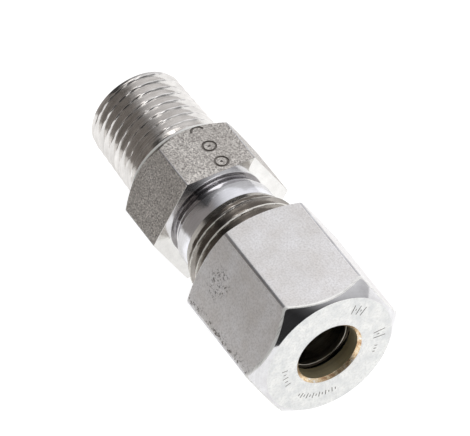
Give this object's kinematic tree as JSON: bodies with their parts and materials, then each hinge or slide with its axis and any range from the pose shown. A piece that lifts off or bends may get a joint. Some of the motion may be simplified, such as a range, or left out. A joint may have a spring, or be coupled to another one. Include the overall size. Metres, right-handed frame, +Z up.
{
  "type": "male stud tube coupling",
  "caption": "Straight cutting-ring tube coupling: stud body with taper pipe thread, cutting ring and union nut that unscrews.",
  "frame": {"origin": "on the surface that the coupling lies on, below the middle of its length", "axes": "+X along the tube axis towards the union nut's front face where the tube enters, +Z up, with a flat of both hexagons facing up"},
  "size_m": [0.049, 0.0216, 0.019],
  "materials": {
    "body_steel": "satin turned and grained stainless steel",
    "nut_steel": "satin stainless steel with a bright front face",
    "ring_steel": "fine turned hardened stainless steel"
  },
  "bodies": {
    "body": {"stud_body": "body_steel"},
    "ring": {"cutting_ring": "ring_steel"},
    "nut": {"union_nut": "nut_steel"}
  },
  "joints": [
    {"name": "ring_slide", "type": "slide", "parent": "body", "child": "ring", "axis": [1, 0, 0], "range_m": [0, 0.0075]},
    {"name": "nut_turn", "type": "hinge", "parent": "ring", "child": "nut", "pos_m": [0.0155, 0, 0.0095], "axis": [1, 0, 0], "range_deg": [0, 1800]}
  ],
  "couplings": [
    {"joint": "ring_slide", "follows": "nut_turn", "m_per_rad": 0.00023873}
  ]
}
